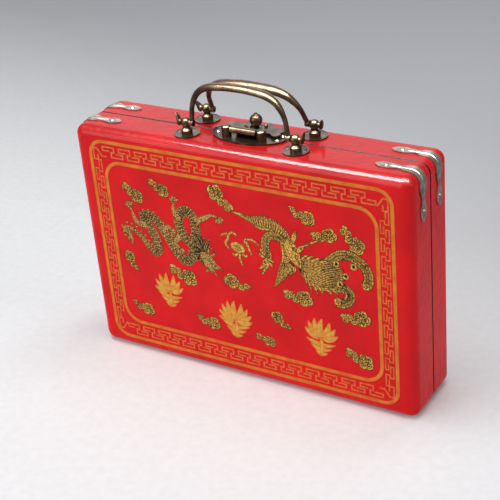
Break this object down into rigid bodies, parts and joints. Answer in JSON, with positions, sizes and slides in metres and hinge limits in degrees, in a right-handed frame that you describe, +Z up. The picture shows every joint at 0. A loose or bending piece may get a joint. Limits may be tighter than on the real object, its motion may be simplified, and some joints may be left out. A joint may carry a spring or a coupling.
{
  "type": "tile game case with drawers",
  "caption": "Upright two-shell game case in red lacquered leather cloth, with a bat-winged hasp latch, twin bail handles, corner brackets and a cabinet of shallow tile drawers inside.",
  "frame": {"origin": "middle of the underside, on the plane of the seam between the two shells", "axes": "+X across the case towards the right-hand side seen from the front, +Y from the front face to the back face, +Z up"},
  "size_m": [0.3342, 0.071, 0.2768],
  "materials": {
    "red_leather": "glossy red lacquered leather cloth over a thin wooden shell",
    "lining_cloth": "short black flannelette",
    "cabinet_wood": "satin stained hardwood",
    "drawer_front_wood": "satin stained hardwood",
    "drawer_wood": "planed light wood",
    "pull_brass": "turned, lightly aged",
    "antique_brass": "antiqued: dark with rubbed highlights",
    "bracket_bronze": "dark pewter-like bronze plate",
    "hinge_steel": "brass-washed steel",
    "nail_brass": "domed, rubbed bright"
  },
  "bodies": {
    "rear_case": {"rear_shell": "red_leather", "rear_lining": "lining_cloth", "rear_nails": "nail_brass", "latch_rear_plate": "antique_brass", "corner_bracket_rear_left": "bracket_bronze", "handle_rose_rear_left": "antique_brass", "handle_post_rear_left": "antique_brass", "hinge_leaf_rear_left": "hinge_steel", "corner_bracket_rear_right": "bracket_bronze", "handle_rose_rear_right": "antique_brass", "handle_post_rear_right": "antique_brass", "hinge_leaf_rear_right": "hinge_steel", "hinge_pin_left": "hinge_steel", "hinge_pin_right": "hinge_steel", "cabinet_back": "cabinet_wood", "cabinet_bottom": "cabinet_wood", "cabinet_left_side": "cabinet_wood", "cabinet_right_side": "cabinet_wood", "cabinet_shelf_1": "cabinet_wood", "cabinet_shelf_2": "cabinet_wood", "cabinet_shelf_3": "cabinet_wood", "cabinet_shelf_4": "cabinet_wood", "cabinet_top": "cabinet_wood"},
    "front_case": {"front_shell": "red_leather", "front_lining": "lining_cloth", "front_nails": "nail_brass", "latch_front_plate": "antique_brass", "corner_bracket_front_left": "bracket_bronze", "handle_rose_front_left": "antique_brass", "handle_post_front_left": "antique_brass", "hinge_leaf_front_left": "hinge_steel", "corner_bracket_front_right": "bracket_bronze", "handle_rose_front_right": "antique_brass", "handle_post_front_right": "antique_brass", "hinge_leaf_front_right": "hinge_steel", "latch_post_left": "antique_brass", "latch_post_right": "antique_brass", "latch_pin": "antique_brass"},
    "hasp": {"hasp": "antique_brass"},
    "turn_knob": {"turn_knob": "antique_brass"},
    "front_handle": {"front_handle": "antique_brass"},
    "rear_handle": {"rear_handle": "antique_brass"},
    "drawer_1": {"drawer_1_front": "drawer_front_wood", "drawer_1_tray": "drawer_wood", "drawer_1_pull": "pull_brass"},
    "drawer_2": {"drawer_2_front": "drawer_front_wood", "drawer_2_tray": "drawer_wood", "drawer_2_pull": "pull_brass"},
    "drawer_3": {"drawer_3_front": "drawer_front_wood", "drawer_3_tray": "drawer_wood", "drawer_3_pull": "pull_brass"},
    "drawer_4": {"drawer_4_front": "drawer_front_wood", "drawer_4_tray": "drawer_wood", "drawer_4_pull": "pull_brass"},
    "drawer_5": {"drawer_5_front": "drawer_front_wood", "drawer_5_tray": "drawer_wood", "drawer_5_pull": "pull_brass"}
  },
  "joints": [
    {"name": "lid_hinge", "type": "hinge", "parent": "rear_case", "child": "front_case", "pos_m": [0, 0, 0.0024], "axis": [1, 0, 0], "range_deg": [0, 115]},
    {"name": "hasp_hinge", "type": "hinge", "parent": "front_case", "child": "hasp", "pos_m": [0, -0.01, 0.2326], "axis": [1, 0, 0], "range_deg": [0, 100]},
    {"name": "knob_turn", "type": "hinge", "parent": "rear_case", "child": "turn_knob", "pos_m": [0, 0.011, 0.225], "axis": [0, 0, 1], "range_deg": [0, 90]},
    {"name": "front_handle_swing", "type": "hinge", "parent": "front_case", "child": "front_handle", "pos_m": [0, -0.0165, 0.2358], "axis": [1, 0, 0], "range_deg": [-4, 100]},
    {"name": "rear_handle_swing", "type": "hinge", "parent": "rear_case", "child": "rear_handle", "pos_m": [0, 0.0165, 0.2358], "axis": [1, 0, 0], "range_deg": [-125, 2]},
    {"name": "drawer_1_slide", "type": "slide", "parent": "rear_case", "child": "drawer_1", "axis": [0, -1, 0], "range_m": [0, 0.0455]},
    {"name": "drawer_2_slide", "type": "slide", "parent": "rear_case", "child": "drawer_2", "axis": [0, -1, 0], "range_m": [0, 0.0455]},
    {"name": "drawer_3_slide", "type": "slide", "parent": "rear_case", "child": "drawer_3", "axis": [0, -1, 0], "range_m": [0, 0.0455]},
    {"name": "drawer_4_slide", "type": "slide", "parent": "rear_case", "child": "drawer_4", "axis": [0, -1, 0], "range_m": [0, 0.0455]},
    {"name": "drawer_5_slide", "type": "slide", "parent": "rear_case", "child": "drawer_5", "axis": [0, -1, 0], "range_m": [0, 0.0455]}
  ],
  "couplings": [
    {"joint": "drawer_1_slide", "follows": "lid_hinge", "m_per_rad": 0.0225},
    {"joint": "drawer_2_slide", "follows": "lid_hinge", "m_per_rad": 0.0225},
    {"joint": "drawer_3_slide", "follows": "lid_hinge", "m_per_rad": 0.0225},
    {"joint": "drawer_4_slide", "follows": "lid_hinge", "m_per_rad": 0.0225},
    {"joint": "drawer_5_slide", "follows": "lid_hinge", "m_per_rad": 0.0225}
  ]
}
